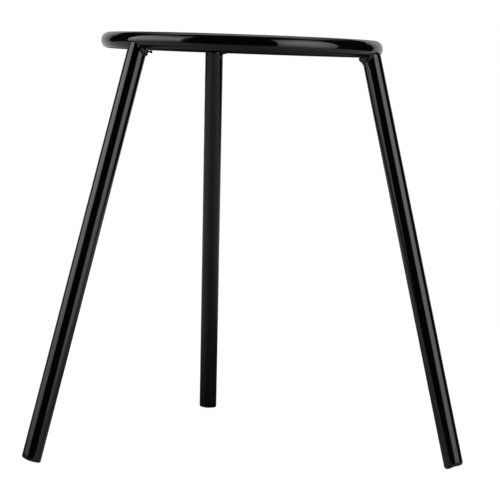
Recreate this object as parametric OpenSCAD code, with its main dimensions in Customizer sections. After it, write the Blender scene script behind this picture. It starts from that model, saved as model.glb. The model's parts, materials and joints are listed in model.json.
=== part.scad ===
// Lab tripod stand: a ring of round rod on three splayed round legs, joined by fillet welds.
// Millimetres, +Z up. The origin is on the bench, under the middle of the ring.
// The back leg stands towards +Y, the left leg at 210 degrees and the right leg at 330 degrees.

/* [Ring] */
// Height of the top of the ring above the bench
stand_h = 217; // [160:1:300]
// Inside diameter of the ring
ring_inside_d = 131.5; // [100:0.5:180]
// Diameter of the rod that the ring is bent from
ring_rod_d = 8.5; // [7:0.1:10]

/* [Legs] */
// Diameter of the leg rods
leg_rod_d = 10; // [9:0.1:12]
// Angle at which each leg spreads outwards from upright
leg_splay = 15.3; // [12:0.1:20]
// How far the leg axes lie inside the middle of the ring rod, at the height of the ring
leg_set_in = 0.8; // [0:0.1:1.5]
// How far the cut top of a leg stops below the middle of the ring rod
leg_top_drop = 0.5; // [0:0.1:1.5]
// Radius that the enamel leaves on the rims of the cut leg ends
leg_end_round = 0.8; // [0.3:0.1:1.5]

/* [Set of each leg] */
// Turn of the left leg around the ring from its even place
left_leg_turn = -1.5; // [-5:0.5:5]
// Sideways lean of the left leg, clockwise seen from above
left_leg_lean = 1.2; // [0:0.1:8]
// Turn of the right leg around the ring from its even place
right_leg_turn = 0.5; // [-5:0.5:5]
// Sideways lean of the right leg, clockwise seen from above
right_leg_lean = 6; // [0:0.1:8]
// Turn of the back leg around the ring from its even place
back_leg_turn = 0; // [-5:0.5:5]
// Sideways lean of the back leg, clockwise seen from above
back_leg_lean = 4.3; // [0:0.1:8]

/* [Welds] */
// Radius of the weld bead at the left leg
left_bead_r = 2.2; // [1.8:0.1:3.2]
// Radius of the weld bead at the right leg
right_bead_r = 2.9; // [1.8:0.1:3.2]
// Radius of the weld bead at the back leg
back_bead_r = 2.4; // [1.8:0.1:3.2]
// How deep the middle of a bead lies inside the leg's surface
bead_sink = 0.6; // [0.4:0.1:1]
// Height of the middle of a bead below the middle of the ring rod, at the sides of the leg
weld_drop = 2.8; // [2:0.1:4]
// Slope of a bead, down towards the inner side of the leg
weld_slope = 35; // [20:1:45]
// Angle from the leg's outer side at which a bead starts and ends
weld_from = 65; // [50:1:80]

/* [Hidden] */
$fn = 96;
enamel = [0.02, 0.02, 0.02];
leg_azimuths = [210, 330, 90];
left_azimuth = leg_azimuths[0] + left_leg_turn;
right_azimuth = leg_azimuths[1] + right_leg_turn;
back_azimuth = leg_azimuths[2] + back_leg_turn;
ring_rod_r = ring_rod_d / 2;
ring_r = ring_inside_d / 2 + ring_rod_r;
ring_z = stand_h - ring_rod_r;
leg_r = leg_rod_d / 2;
bead_path_r = leg_r - bead_sink;

// Angle between a leg's axis and the vertical
function tilt(lean) = atan(sqrt(pow(tan(leg_splay), 2) + pow(tan(lean), 2)));

// Direction in which a leg spreads, measured from straight outwards
function swing(lean) = -atan2(tan(lean), tan(leg_splay));

// Distance along the axis from the height of the ring rod's middle to the cut foot,
// so that the lowest point of the rounded rim touches the bench
function foot_run(lean) = (ring_z - (leg_r - leg_end_round) * sin(tilt(lean)) - leg_end_round) / cos(tilt(lean))
    + leg_end_round;

// Puts children on a leg: their origin on the leg's axis at the height of the ring, -Z down the leg, +X outwards
module on_leg(azimuth, lean) {
    rotate([0, 0, azimuth])
        translate([ring_r - leg_set_in, 0, ring_z])
            rotate([0, 0, swing(lean)])
                rotate([0, -tilt(lean), 0])
                    rotate([0, 0, -swing(lean)])
                        children();
}

module ring_rod() {
    translate([0, 0, ring_z])
        rotate_extrude($fn = 180)
            translate([ring_r, 0])
                circle(r = ring_rod_r);
}

// Straight rod with rounded rims, from the cut top down to the foot
module leg_rod(lean) {
    run = foot_run(lean);
    translate([0, 0, -run])
        rotate_extrude()
            union() {
                square([leg_r - leg_end_round, run - leg_top_drop]);
                translate([0, leg_end_round])
                    square([leg_r, run - leg_top_drop - 2 * leg_end_round]);
                for (height = [leg_end_round, run - leg_top_drop - leg_end_round])
                    translate([leg_r - leg_end_round, height])
                        circle(r = leg_end_round, $fn = 48);
            }
}

// Leg coped to sit against the underside of the ring
module leg(azimuth, lean) {
    difference() {
        on_leg(azimuth, lean)
            leg_rod(lean);
        ring_rod();
    }
}

// Round bead laid round the inner side of a leg, under the ring
module bead(bead_r) {
    translate([0, 0, -weld_drop])
        rotate([0, -weld_slope, 0])
            rotate([0, 0, weld_from])
                rotate_extrude(angle = 360 - 2 * weld_from)
                    translate([bead_path_r, 0])
                        circle(r = bead_r, $fn = 48);
}

// Weld metal between one leg and the ring, which it only touches
module weld(azimuth, lean, bead_r) {
    difference() {
        on_leg(azimuth, lean)
            bead(bead_r);
        ring_rod();
        on_leg(azimuth, lean)
            leg_rod(lean);
    }
}

module ring() {
    color(enamel)
        ring_rod();
}

module leg_left() {
    color(enamel)
        leg(left_azimuth, left_leg_lean);
}

module leg_right() {
    color(enamel)
        leg(right_azimuth, right_leg_lean);
}

module leg_back() {
    color(enamel)
        leg(back_azimuth, back_leg_lean);
}

module weld_left() {
    color(enamel)
        weld(left_azimuth, left_leg_lean, left_bead_r);
}

module weld_right() {
    color(enamel)
        weld(right_azimuth, right_leg_lean, right_bead_r);
}

module weld_back() {
    color(enamel)
        weld(back_azimuth, back_leg_lean, back_bead_r);
}

ring();
leg_left();
leg_right();
leg_back();
weld_left();
weld_right();
weld_back();
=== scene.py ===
import json
import math

import bpy
from mathutils import Matrix, Vector


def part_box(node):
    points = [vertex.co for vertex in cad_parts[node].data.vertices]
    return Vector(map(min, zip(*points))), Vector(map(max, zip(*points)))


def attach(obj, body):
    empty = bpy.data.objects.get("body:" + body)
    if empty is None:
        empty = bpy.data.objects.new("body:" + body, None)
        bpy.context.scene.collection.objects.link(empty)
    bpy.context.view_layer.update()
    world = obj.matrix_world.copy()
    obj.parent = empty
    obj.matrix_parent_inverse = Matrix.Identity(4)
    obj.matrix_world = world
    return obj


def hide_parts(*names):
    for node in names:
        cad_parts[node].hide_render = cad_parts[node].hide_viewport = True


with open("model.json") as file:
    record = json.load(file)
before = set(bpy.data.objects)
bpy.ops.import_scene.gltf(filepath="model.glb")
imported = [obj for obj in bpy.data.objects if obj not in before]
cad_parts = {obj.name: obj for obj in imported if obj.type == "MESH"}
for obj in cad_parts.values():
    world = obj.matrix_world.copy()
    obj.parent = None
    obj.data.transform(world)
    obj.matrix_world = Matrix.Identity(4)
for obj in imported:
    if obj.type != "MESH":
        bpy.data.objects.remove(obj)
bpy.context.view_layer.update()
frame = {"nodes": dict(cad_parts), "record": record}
print("frame loaded:", ", ".join(sorted(frame["nodes"])))


def selectOnly(*pieces):
    bpy.ops.object.select_all(action="DESELECT")
    for piece in pieces:
        piece.select_set(True)
    bpy.context.view_layer.objects.active = pieces[-1]


def newest(name):
    piece = bpy.context.active_object
    piece.name = name
    piece.data.name = name
    return piece


def bakePlace(piece):
    selectOnly(piece)
    bpy.ops.object.transform_apply(location=True, rotation=True, scale=True)


def applyModifier(piece, modifier):
    selectOnly(piece)
    bpy.ops.object.modifier_apply(modifier=modifier.name)


def smooth(piece, angle=40):
    selectOnly(piece)
    bpy.ops.object.shade_smooth_by_angle(angle=math.radians(angle))


def selectPoints(piece, wanted):
    # leaves the piece in edit mode with the wanted points selected
    bpy.ops.object.mode_set(mode="EDIT")
    bpy.ops.mesh.select_mode(type="VERT")
    bpy.ops.mesh.select_all(action="DESELECT")
    bpy.ops.object.mode_set(mode="OBJECT")
    for point in piece.data.vertices:
        point.select = not point.hide and wanted(point.co)
    bpy.ops.object.mode_set(mode="EDIT")


def unevenness(piece, size, depth):
    # a cloud pattern that only sinks the surface, so nothing grows past its size
    clouds = bpy.data.textures.new(piece.name + "Clouds", "CLOUDS")
    clouds.noise_scale = size
    clouds.noise_depth = 1
    modifier = piece.modifiers.new("unevenness", "DISPLACE")
    modifier.texture = clouds
    modifier.texture_coords = "LOCAL"
    modifier.strength = depth
    modifier.mid_level = 1.0
    applyModifier(piece, modifier)


ringLow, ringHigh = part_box("ring")
rodRadius = (ringHigh.z - ringLow.z) / 2
ringRadius = (ringHigh.x - ringLow.x) / 2 - rodRadius
ringHeight = (ringHigh.z + ringLow.z) / 2
mounts = {mount["name"]: mount for mount in frame["record"]["mounts"]}
tiny = 1e-6  # heights this close are the same


def legPlace(side):
    # the leg's own axes: origin on its axis at the ring's height, -Z down the leg, +X outwards;
    # then its length from that origin and its radius
    mount = mounts["leg_" + side + "_end"]
    foot = Vector(mount["pos_m"])
    down = Vector(mount["axis"]).normalized()
    length = (foot.z - ringHeight) / down.z
    top = foot - down * length
    turn = Vector((0, 0, -1)).rotation_difference(down).to_matrix().to_4x4()
    swing = Matrix.Rotation(math.atan2(top.y, top.x), 4, "Z")
    return Matrix.Translation(top) @ turn @ swing, length, mount["dims"]["r_mm"] / 1000


enamel = {
    "colour": (0.0008, 0.0008, 0.0009, 1),
    "dustColour": (0.0026, 0.0026, 0.0028, 1),
    "ior": 1.5,
    "roughness": (0.045, 0.11),
    "mottleScale": 45,
    "mottleDetail": 4,
    "mottleSpan": (0.3, 0.7),  # the stretch of the noise over which the roughness rises
    "peelScale": 420,
    "peelDetail": 2,
    "peelHeight": 0.000006,
    "sagScale": 110,
    "sagDetail": 1,
    "sagHeight": 0.00002,
}


def makeEnamel(look):
    material = bpy.data.materials.new("blackEnamel")
    material.use_nodes = True
    nodes = material.node_tree.nodes
    links = material.node_tree.links
    shader = nodes["Principled BSDF"]
    shader.inputs["IOR"].default_value = look["ior"]

    place = nodes.new("ShaderNodeTexCoord")

    def noise(scale, detail):
        node = nodes.new("ShaderNodeTexNoise")
        node.inputs["Scale"].default_value = scale
        node.inputs["Detail"].default_value = detail
        links.new(place.outputs["Object"], node.inputs["Vector"])
        return node

    mottle = noise(look["mottleScale"], look["mottleDetail"])
    tint = nodes.new("ShaderNodeMix")
    tint.data_type = "RGBA"  # its colours are inputs 6 and 7 and output 2
    tint.inputs[6].default_value = look["colour"]
    tint.inputs[7].default_value = look["dustColour"]
    links.new(mottle.outputs["Fac"], tint.inputs[0])
    links.new(tint.outputs[2], shader.inputs["Base Color"])

    rough = nodes.new("ShaderNodeMapRange")
    rough.inputs["From Min"].default_value = look["mottleSpan"][0]
    rough.inputs["From Max"].default_value = look["mottleSpan"][1]
    rough.inputs["To Min"].default_value = look["roughness"][0]
    rough.inputs["To Max"].default_value = look["roughness"][1]
    links.new(mottle.outputs["Fac"], rough.inputs["Value"])
    links.new(rough.outputs["Result"], shader.inputs["Roughness"])

    sag = nodes.new("ShaderNodeBump")
    sag.inputs["Distance"].default_value = look["sagHeight"]
    links.new(noise(look["sagScale"], look["sagDetail"]).outputs["Fac"], sag.inputs["Height"])
    peel = nodes.new("ShaderNodeBump")
    peel.inputs["Distance"].default_value = look["peelHeight"]
    links.new(noise(look["peelScale"], look["peelDetail"]).outputs["Fac"], peel.inputs["Height"])
    links.new(sag.outputs["Normal"], peel.inputs["Normal"])
    links.new(peel.outputs["Normal"], shader.inputs["Normal"])
    return material


blackEnamel = makeEnamel(enamel)


def dress(piece, node):
    piece.data.materials.clear()
    piece.data.materials.append(blackEnamel)
    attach(piece, "root")
    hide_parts(node)


# the enamel has run a little to the underside, most at the angle sagTowards, and fades out over sagReach
ring = {
    "turns": 420, "sides": 48, "waveSize": 0.009, "waveDepth": 0.00006,
    "sag": 1.12, "sagTowards": -55, "sagGrip": 0.5, "sagReach": 0.15,
}


def makeRing(look):
    bpy.ops.object.select_all(action="DESELECT")
    bpy.ops.mesh.primitive_torus_add(
        location=(0, 0, ringHeight),
        major_radius=ringRadius,
        minor_radius=rodRadius,
        major_segments=look["turns"],
        minor_segments=look["sides"],
    )
    piece = newest("rodRing")
    bakePlace(piece)
    towards = math.radians(look["sagTowards"])
    lowest = Vector((math.cos(towards) * ringRadius, math.sin(towards) * ringRadius, ringHeight - rodRadius))
    selectPoints(piece, lambda spot: spot.z > ringHeight + tiny)
    bpy.ops.mesh.hide(unselected=False)
    selectPoints(piece, lambda spot: (spot - lowest).length < rodRadius * look["sagGrip"])
    bpy.ops.transform.resize(
        value=(1, 1, look["sag"]), center_override=(0, 0, ringHeight), use_proportional_edit=True,
        proportional_edit_falloff="SMOOTH", proportional_size=look["sagReach"])
    bpy.ops.mesh.reveal(select=False)
    bpy.ops.object.mode_set(mode="OBJECT")
    unevenness(piece, look["waveSize"], look["waveDepth"])
    smooth(piece)
    dress(piece, "ring")


makeRing(ring)
print("ring made")


leg = {
    # how far the top lies below the ring's height, and the rounding of its rim
    "top": {"left": (0.0010, 0.0022), "right": (0.0021, 0.0028), "back": (0.0028, 0.0004)},
    "footRound": {"left": 0.0012, "right": 0.0017, "back": 0.0008},
    # places on a foot's rim that were pulled along the leg: angle round it, how far down, the pull's reach
    "pulls": {
        "left": [(-30, -0.0007, 0.0040)],
        "right": [(215, 0.00037, 0.0028), (330, -0.0004, 0.0040)],
        "back": [(78, 0.0005, 0.0040), (256, 0.0009, 0.0050)],
    },
    "pullGrip": 1.2,  # a pull takes hold of the rim this many roundings round its place
    "sides": 96, "rows": 300, "bevelSteps": 8, "waveSize": 0.009, "waveDepth": 0.00006,
}


def makeLeg(side, look):
    place, length, radius = legPlace(side)
    topDrop, topRound = look["top"][side]
    bpy.ops.object.select_all(action="DESELECT")
    bpy.ops.mesh.primitive_cylinder_add(
        vertices=look["sides"],
        radius=radius,
        depth=length - topDrop,
        location=(0, 0, -(length + topDrop) / 2),
    )
    piece = newest(side + "Leg")
    bakePlace(piece)
    for end, rounding in ((-topDrop, topRound), (-length, look["footRound"][side])):
        selectPoints(piece, lambda spot: abs(spot.z - end) < tiny)
        bpy.ops.mesh.bevel(offset=rounding, segments=look["bevelSteps"], affect="EDGES")
        bpy.ops.object.mode_set(mode="OBJECT")
    # the long edges between the rims are cut into rows
    selectPoints(piece, lambda spot: False)
    bpy.ops.mesh.select_mode(type="EDGE")
    bpy.ops.object.mode_set(mode="OBJECT")
    points = piece.data.vertices
    for edge in piece.data.edges:
        a, b = (points[i].co for i in edge.vertices)
        edge.select = abs(a.z - b.z) > length / 2
    bpy.ops.object.mode_set(mode="EDIT")
    bpy.ops.mesh.subdivide(number_cuts=look["rows"])
    bpy.ops.object.mode_set(mode="OBJECT")
    grip = look["footRound"][side] * look["pullGrip"]
    for angle, down, reach in look["pulls"][side]:
        angle = math.radians(angle)
        rim = Vector((math.cos(angle) * radius, math.sin(angle) * radius, -length))
        selectPoints(piece, lambda spot: (spot - rim).length < grip)
        bpy.ops.transform.translate(
            value=(0, 0, -down), use_proportional_edit=True,
            proportional_edit_falloff="SMOOTH", proportional_size=reach)
        bpy.ops.object.mode_set(mode="OBJECT")
    piece.matrix_world = place
    bakePlace(piece)
    unevenness(piece, look["waveSize"], look["waveDepth"])
    smooth(piece)
    dress(piece, "leg_" + side)


for side in ("left", "right", "back"):
    makeLeg(side, leg)
print("legs made")


# runs of weld metal, each a list of places on the leg: the angle round it from its outer side,
# then the distance from its axis, the drop below the ring's height and the radius there, in mm
welds = {
    "left": {
        "runs": [
            [  # crest
                (44, 5.2, 0.9, 0.8), (52, 5.15, 1.7, 0.85), (58, 5.1, 2.7, 0.9), (67, 5.05, 4.0, 0.9),
                (77, 5.0, 5.1, 0.95), (88, 4.95, 5.7, 0.95), (100, 4.95, 6.0, 0.95), (120, 4.95, 6.2, 0.95),
                (140, 4.9, 6.25, 1.0), (180, 4.9, 5.9, 1.1), (235, 5.0, 4.8, 1.1), (296, 5.1, 3.4, 0.8),
            ],
            [  # toe
                (50, 4.7, 2.4, 0.75), (58, 4.65, 3.6, 0.8), (67, 4.6, 5.0, 0.8), (77, 4.55, 6.1, 0.8),
                (88, 4.5, 6.7, 0.8), (105, 4.5, 7.1, 0.75), (122, 4.45, 7.3, 0.75), (142, 4.4, 7.3, 0.75),
                (200, 4.5, 6.6, 0.8), (270, 4.5, 4.8, 0.7),
            ],
            [(150, 4.9, 4.6, 1.1), (200, 5.0, 4.4, 1.1), (250, 5.0, 3.6, 0.9)],  # filling behind the crest
            [(138, 5.3, 4.9, 0.50), (138, 7.0, 4.6, 0.36)],  # a stub of spatter and the ball at its end
            [(138, 7.1, 4.6, 0.80)],
        ],
        "ripple": 0.06,
    },
    "right": {
        "runs": [
            [  # crest
                (66, 5.0, 3.4, 0.9), (120, 4.9, 4.5, 1.2), (180, 4.9, 4.8, 1.5), (200, 5.1, 4.7, 1.45),
                (215, 5.0, 5.1, 1.2), (235, 4.95, 5.5, 1.0), (250, 4.95, 5.4, 1.0), (265, 4.9, 5.1, 1.0),
                (277, 5.0, 4.3, 0.95), (296, 5.1, 2.9, 0.8),
            ],
            [  # toe
                (100, 4.5, 5.6, 0.8), (160, 4.5, 6.9, 0.9), (205, 4.5, 7.0, 0.9), (225, 4.75, 6.8, 0.8),
                (246, 4.9, 6.5, 0.8), (262, 4.9, 6.0, 0.8), (280, 4.85, 5.1, 0.8), (290, 4.7, 4.0, 0.8),
            ],
            # where the bead began on the ring
            [(222, 5.4, 4.3, 0.9), (234, 7.2, 3.8, 0.85), (241, 9.2, 3.5, 0.7)],
        ],
        "ripple": 0.14,
    },
    "back": {
        "runs": [
            [(66, 4.6, 3.7, 0.6), (100, 4.3, 4.2, 0.7), (118, 4.2, 4.4, 0.6)],  # the two ends of the bead
            [(222, 4.2, 4.4, 0.6), (250, 4.4, 4.3, 0.7), (294, 4.6, 3.7, 0.6)],
            [  # toe
                (110, 4.5, 5.2, 0.5), (122, 4.72, 5.9, 0.5), (145, 4.5, 6.7, 0.5), (168, 4.45, 7.0, 0.5),
                (195, 4.5, 6.7, 0.5), (221, 4.72, 5.9, 0.5), (232, 4.5, 5.2, 0.5),
            ],
            # where the bead ran on along the ring
            [(250, 4.9, 4.6, 0.6), (256, 6.0, 4.45, 0.5), (260, 8.2, 4.3, 0.3)],
        ],
        "ripple": 0.06,
    },
}
weldMake = {
    # lumps: degrees between them, the fewest from one place of a run to the next, their faces,
    # and how their radius waves with the angle
    "step": 5, "fewestLumps": 5, "lumpSides": 24, "lumpRows": 12, "waveRate": 0.42, "waveStart": 1.3,
    # the lumps grow together with a slice of leg, sunk this much under the leg's surface and its top
    "skin": 0.00010, "lowered": 0.0003, "voxel": 0.00019, "softening": 0.5, "rounds": 8, "creaseAngle": 60,
    # slices reach this far along their rods, those that cut cutReach times as far; overlap is how deep
    # the cut weld still lies in the rods
    "reach": 0.011, "cutReach": 1.3, "overlap": 0.00004, "legSides": 96, "ringSides": 64, "ringSteps": 24,
    # what the cuts leave with fewer points than this is dropped
    "fewestPoints": 150,
}


def ringSlice(radius, turn, reach, make):
    # the stretch of ring rod near one leg: a disc spun round the stand's middle
    half = reach / ringRadius
    bpy.ops.object.select_all(action="DESELECT")
    bpy.ops.mesh.primitive_circle_add(
        vertices=make["ringSides"],
        radius=radius,
        fill_type="NGON",
        location=(ringRadius, 0, ringHeight),
        rotation=(math.pi / 2, 0, 0),
    )
    piece = newest("ringSlice")
    bakePlace(piece)
    piece.rotation_euler.z = turn + half  # the spin runs clockwise
    bakePlace(piece)
    bpy.ops.object.mode_set(mode="EDIT")
    bpy.ops.mesh.select_all(action="SELECT")
    bpy.ops.mesh.spin(steps=make["ringSteps"], angle=2 * half, center=(0, 0, ringHeight), axis=(0, 0, 1))
    bpy.ops.mesh.select_all(action="SELECT")
    bpy.ops.mesh.normals_make_consistent(inside=False)
    bpy.ops.object.mode_set(mode="OBJECT")
    return piece


def legSlice(radius, place, drop, length, make):
    # the upper end of one leg
    bpy.ops.object.select_all(action="DESELECT")
    bpy.ops.mesh.primitive_cylinder_add(
        vertices=make["legSides"],
        radius=radius,
        depth=length,
        location=(0, 0, -drop - length / 2),
    )
    piece = newest("legSlice")
    bakePlace(piece)
    piece.matrix_world = place
    bakePlace(piece)
    return piece


def cutAway(piece, cutter):
    cut = piece.modifiers.new("cut", "BOOLEAN")
    cut.operation = "DIFFERENCE"
    cut.solver = "EXACT"
    cut.object = cutter
    applyModifier(piece, cut)
    bpy.data.objects.remove(cutter)


def dropCrumbs(piece, fewest):
    # keeps the loose parts of a piece that have enough points
    name = piece.name
    selectOnly(piece)
    bpy.ops.mesh.separate(type="LOOSE")
    kept = []
    for part in list(bpy.context.selected_objects):
        if len(part.data.vertices) < fewest:
            bpy.data.meshes.remove(part.data)
        else:
            kept.append(part)
    selectOnly(*kept)
    if len(kept) > 1:
        bpy.ops.object.join()
    return newest(name)


def lumpsAlong(keys, ripple, make):
    # places between the keys, every few degrees, with a radius that swells and shrinks a little
    places = []
    for (angleA, *a), (angleB, *b) in zip(keys, keys[1:]):
        count = max(make["fewestLumps"], round((angleB - angleA) / make["step"]))
        for i in range(count):
            share = i / count
            angle = angleA + (angleB - angleA) * share
            out, drop, radius = (x + (y - x) * share for x, y in zip(a, b))
            wave = math.sin(angle * make["waveRate"] + make["waveStart"])
            places.append((angle, out, drop, radius * (1 + ripple * wave)))
    return places + keys[-1:]


def makeWeld(side, look, make):
    place, _, radius = legPlace(side)
    topDrop, topRound = leg["top"][side]
    drop = topDrop + topRound / 2
    top = place.translation
    turn = math.atan2(top.y, top.x)
    parts = [legSlice(radius - make["skin"], place, drop + make["lowered"], make["reach"], make)]
    for keys in look["runs"]:
        for angle, out, down, size in lumpsAlong(keys, look["ripple"], make):
            angle = math.radians(angle)
            spot = place @ (Vector((math.cos(angle) * out, math.sin(angle) * out, -down)) / 1000)
            bpy.ops.object.select_all(action="DESELECT")
            bpy.ops.mesh.primitive_uv_sphere_add(
                segments=make["lumpSides"], ring_count=make["lumpRows"], radius=size / 1000, location=spot)
            parts.append(newest("lump"))
    selectOnly(*parts)
    bpy.ops.object.join()
    piece = newest(side + "Weld")
    bakePlace(piece)
    remesh = piece.modifiers.new("remesh", "REMESH")
    remesh.mode = "VOXEL"
    remesh.voxel_size = make["voxel"]
    applyModifier(piece, remesh)
    soften = piece.modifiers.new("soften", "SMOOTH")
    soften.factor = make["softening"]
    soften.iterations = make["rounds"]
    applyModifier(piece, soften)
    reach = make["reach"] * make["cutReach"]
    cutAway(piece, ringSlice(rodRadius - make["overlap"], turn, reach, make))
    cutAway(piece, legSlice(radius - make["overlap"], place, drop, reach, make))
    piece = dropCrumbs(piece, make["fewestPoints"])
    smooth(piece, make["creaseAngle"])
    dress(piece, "weld_" + side)
    print(side, "weld:", len(piece.data.polygons), "faces")


for side, look in welds.items():
    makeWeld(side, look, weldMake)
print("welds made")


camera = {
    "eye": (-0.2611, -1.1402, 0.1962), "yaw": 13.29, "pitch": -4.50, "roll": 1.993,
    "lens": 158.8, "sensor": 36,  # mm
}
cameraTurn = math.radians(-camera["yaw"])


def makeCamera(look):
    yaw, pitch = math.radians(look["yaw"]), math.radians(look["pitch"])
    ahead = Vector((math.sin(yaw) * math.cos(pitch), math.cos(yaw) * math.cos(pitch), math.sin(pitch)))
    aim = ahead.to_track_quat("-Z", "Y").to_matrix().to_4x4()
    roll = Matrix.Rotation(math.radians(look["roll"]), 4, "Z")
    data = bpy.data.cameras.new("studioCamera")
    data.lens = look["lens"]
    data.sensor_width = look["sensor"]
    piece = bpy.data.objects.new("studioCamera", data)
    bpy.context.scene.collection.objects.link(piece)
    piece.matrix_world = Matrix.Translation(look["eye"]) @ aim @ roll
    bpy.context.scene.camera = piece


makeCamera(camera)


# directions are degrees round the stand from the camera's side, positive to its right;
# levels are the share of the radiance at each height or, for the sky panel, at each distance back
softBoxes = {
    "leftBox": {
        "turn": -75.25, "twist": 9.25, "distance": 0.587, "width": 0.595, "low": 0.06, "high": 1.16,
        "levels": (
            (0.06, 0.03), (0.085, 0.10), (0.118, 0.36), (0.193, 0.47), (0.227, 0.65), (0.341, 0.94),
            (0.42, 0.98), (0.50, 0.89), (0.60, 0.71), (0.80, 0.31), (1.00, 0.085), (1.16, 0.02),
        ),
        "hotSide": 0.0, "sideSpread": 9.0, "radiance": 3.1,
    },
    "rightBox": {
        "turn": 51, "twist": 13, "distance": 0.63, "width": 0.614, "low": -0.20, "high": 1.10,
        "levels": (
            (-0.20, 0.15), (0.0, 0.41), (0.11, 0.61), (0.27, 0.88), (0.38, 0.98), (0.50, 0.98), (0.61, 0.88),
            (0.77, 0.61), (0.93, 0.33), (1.10, 0.135),
        ),
        "hotSide": -0.02, "sideSpread": 0.30, "radiance": 3.1,
    },
}
skyPanel = {
    "height": 1.25, "near": 0.10, "far": 1.15, "width": 1.5,
    "levels": ((0.10, 0.855), (0.24, 0.96), (0.38, 1.0), (0.60, 0.91), (0.88, 0.61), (1.15, 0.305)),
    "hotSide": 0.0, "sideSpread": 0.38, "radiance": 1.6,
}
# spot is to the side, back and up from the stand's middle; levels are painted light, a glow that only
# reflections see, set by distance from the spot: dark near it (painted shade) and brighter round it (a
# painted pool of light)
backdrop = {
    "turn": 180, "distance": 2.3, "width": 4.6, "low": -0.9, "high": 1.65,
    "colour": (0, 0, 0, 1), "roughness": 0.6, "cameraGlow": 1.0,
    "spot": (0.10, 2.3, -0.30), "stretch": (1, 1, 2.5), "reach": 4.0,
    "levels": ((0.32, 0.0), (0.44, 0.26), (0.66, 0.56), (0.95, 0.60), (1.40, 0.66), (2.40, 0.40)),
}
# the floor's glow is painted light for reflections, with a painted dark patch round its spot behind the
# stand
floor = {
    "left": -0.90, "right": 0.70, "front": 0.40, "back": 0.60,
    "colour": (0.09, 0.09, 0.09, 1), "roughness": 0.6, "cameraGlow": 0.97,
    "spot": (0.02, 0.80, 0), "stretch": (1, 4, 1), "reach": 1.0,
    "levels": ((0.175, 0.0), (0.20, 0.09), (0.225, 0.18), (0.27, 0.25), (0.35, 0.33), (0.45, 0.40)),
}


def around(turn, distance, height):
    angle = math.radians(turn - camera["yaw"])
    return Vector((math.sin(angle) * distance, -math.cos(angle) * distance, height))


def fillRamp(ramp, levels):
    stops = ramp.color_ramp.elements
    while len(stops) < len(levels):
        stops.new(position=0.5)
    for stop, (position, level) in zip(stops, levels):
        stop.position = position
        stop.color = (level, level, level, 1)


def makePanel(name, place, size, start, look):
    # a rectangle of light: its levels run up it, and it fades to the sides of its hot line as a bell curve
    data = bpy.data.lights.new(name, "AREA")
    data.shape = "RECTANGLE"
    data.size, data.size_y = size
    data.energy = math.pi * data.size * data.size_y  # then the emission strength is the radiance
    data.use_nodes = True
    nodes = data.node_tree.nodes
    links = data.node_tree.links
    split = nodes.new("ShaderNodeSeparateXYZ")
    links.new(nodes.new("ShaderNodeNewGeometry").outputs["Parametric"], split.inputs[0])

    def step(operation, *values):
        node = nodes.new("ShaderNodeMath")
        node.operation = operation
        for socket, value in zip(node.inputs, values):
            if isinstance(value, (int, float)):
                socket.default_value = value
            else:
                links.new(value, socket)
        return node.outputs[0]

    hotLine = 0.5 + look["hotSide"] / size[0]
    aside = step("DIVIDE", step("SUBTRACT", split.outputs[0], hotLine), look["sideSpread"] / size[0])
    bell = step("EXPONENT", step("MULTIPLY", step("MULTIPLY", aside, aside), -0.5))
    ramp = nodes.new("ShaderNodeValToRGB")
    fillRamp(ramp, [((height - start) / size[1], level) for height, level in look["levels"]])
    links.new(split.outputs[1], ramp.inputs["Fac"])
    glow = step("MULTIPLY", step("MULTIPLY", ramp.outputs["Color"], bell), look["radiance"])
    links.new(glow, nodes["Emission"].inputs["Strength"])
    piece = bpy.data.objects.new(name, data)
    bpy.context.scene.collection.objects.link(piece)
    piece.matrix_world = place
    piece.visible_camera = False


def makeSoftBox(name, look):
    middle = (look["low"] + look["high"]) / 2
    facing = around(look["turn"] + look["twist"], 1, 0)
    aim = (-facing).to_track_quat("-Z", "Y").to_matrix().to_4x4()
    place = Matrix.Translation(around(look["turn"], look["distance"], middle)) @ aim
    makePanel(name, place, (look["width"], look["high"] - look["low"]), look["low"], look)


def makeSkyPanel(look):
    middle = (look["near"] + look["far"]) / 2
    place = Matrix.Translation(around(180, middle, look["height"])) @ Matrix.Rotation(cameraTurn, 4, "Z")
    makePanel("skyPanel", place, (look["width"], look["far"] - look["near"]), look["near"], look)


for name, look in softBoxes.items():
    makeSoftBox(name, look)
makeSkyPanel(skyPanel)


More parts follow.
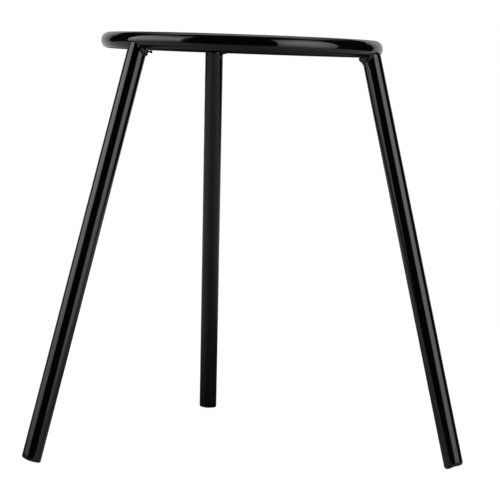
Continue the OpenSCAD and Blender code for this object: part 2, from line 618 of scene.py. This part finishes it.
def whiteToCamera(name, look):
    # a paint that the camera sees as white, while reflections see painted light: a glow by distance from a
    # spot, with painted shade near the spot
    material = bpy.data.materials.new(name)
    material.use_nodes = True
    nodes = material.node_tree.nodes
    links = material.node_tree.links
    shader = nodes["Principled BSDF"]
    shader.inputs["Base Color"].default_value = look["colour"]
    shader.inputs["Roughness"].default_value = look["roughness"]
    shader.inputs["Emission Color"].default_value = (1, 1, 1, 1)
    spot = nodes.new("ShaderNodeMapping")
    spot.vector_type = "TEXTURE"
    spot.inputs["Location"].default_value = Matrix.Rotation(cameraTurn, 3, "Z") @ Vector(look["spot"])
    spot.inputs["Rotation"].default_value = (0, 0, cameraTurn)
    spot.inputs["Scale"].default_value = look["stretch"]
    links.new(nodes.new("ShaderNodeTexCoord").outputs["Object"], spot.inputs["Vector"])
    away = nodes.new("ShaderNodeVectorMath")
    away.operation = "LENGTH"
    links.new(spot.outputs["Vector"], away.inputs[0])
    share = nodes.new("ShaderNodeMapRange")
    share.inputs["From Max"].default_value = look["reach"]
    links.new(away.outputs["Value"], share.inputs["Value"])
    # painted light: the ramp sets a glow by distance from the spot, dark near it, that only reflections see
    ramp = nodes.new("ShaderNodeValToRGB")
    links.new(share.outputs["Result"], ramp.inputs["Fac"])
    fillRamp(ramp, [(distance / look["reach"], level) for distance, level in look["levels"]])
    glow = nodes.new("ShaderNodeMapRange")
    glow.inputs["To Max"].default_value = look["cameraGlow"]
    links.new(nodes.new("ShaderNodeLightPath").outputs["Is Camera Ray"], glow.inputs["Value"])
    links.new(ramp.outputs["Color"], glow.inputs["To Min"])
    links.new(glow.outputs["Result"], shader.inputs["Emission Strength"])
    return material


def makeFloor(look):
    bpy.ops.object.select_all(action="DESELECT")
    bpy.ops.mesh.primitive_plane_add(size=1, location=(0, 0, 0))
    piece = newest("floor")
    piece.scale = (look["right"] - look["left"], look["front"] + look["back"], 1)
    piece.location = ((look["right"] + look["left"]) / 2, (look["back"] - look["front"]) / 2, 0)
    bakePlace(piece)
    piece.rotation_euler.z = cameraTurn
    bakePlace(piece)
    piece.data.materials.append(whiteToCamera("floorPaintedLight", look))


def makeBackdrop(look):
    bpy.ops.object.select_all(action="DESELECT")
    bpy.ops.mesh.primitive_plane_add(size=1, location=(0, 0, 0))
    piece = newest("backdrop")
    piece.scale = (look["width"], look["high"] - look["low"], 1)
    piece.rotation_euler.x = math.radians(90)
    bakePlace(piece)
    piece.rotation_euler.z = cameraTurn
    piece.location = around(look["turn"], look["distance"], (look["high"] + look["low"]) / 2)
    bakePlace(piece)
    piece.data.materials.append(whiteToCamera("backdropPaintedLight", look))


makeFloor(floor)
makeBackdrop(backdrop)


worldShade = 0.006  # what reflections see past the backdrop and the floor


def makeWorld(shade):
    world = bpy.data.worlds.new("studio")
    world.use_nodes = True
    nodes = world.node_tree.nodes
    links = world.node_tree.links
    background = nodes["Background"]
    background.inputs["Color"].default_value = (1, 1, 1, 1)
    path = nodes.new("ShaderNodeLightPath")
    level = nodes.new("ShaderNodeMapRange")
    level.inputs["To Min"].default_value = shade
    level.inputs["To Max"].default_value = 1
    links.new(path.outputs["Is Camera Ray"], level.inputs["Value"])
    links.new(level.outputs["Result"], background.inputs["Strength"])
    bpy.context.scene.world = world


makeWorld(worldShade)
bpy.context.scene.view_settings.view_transform = "Standard"
print("studio made")
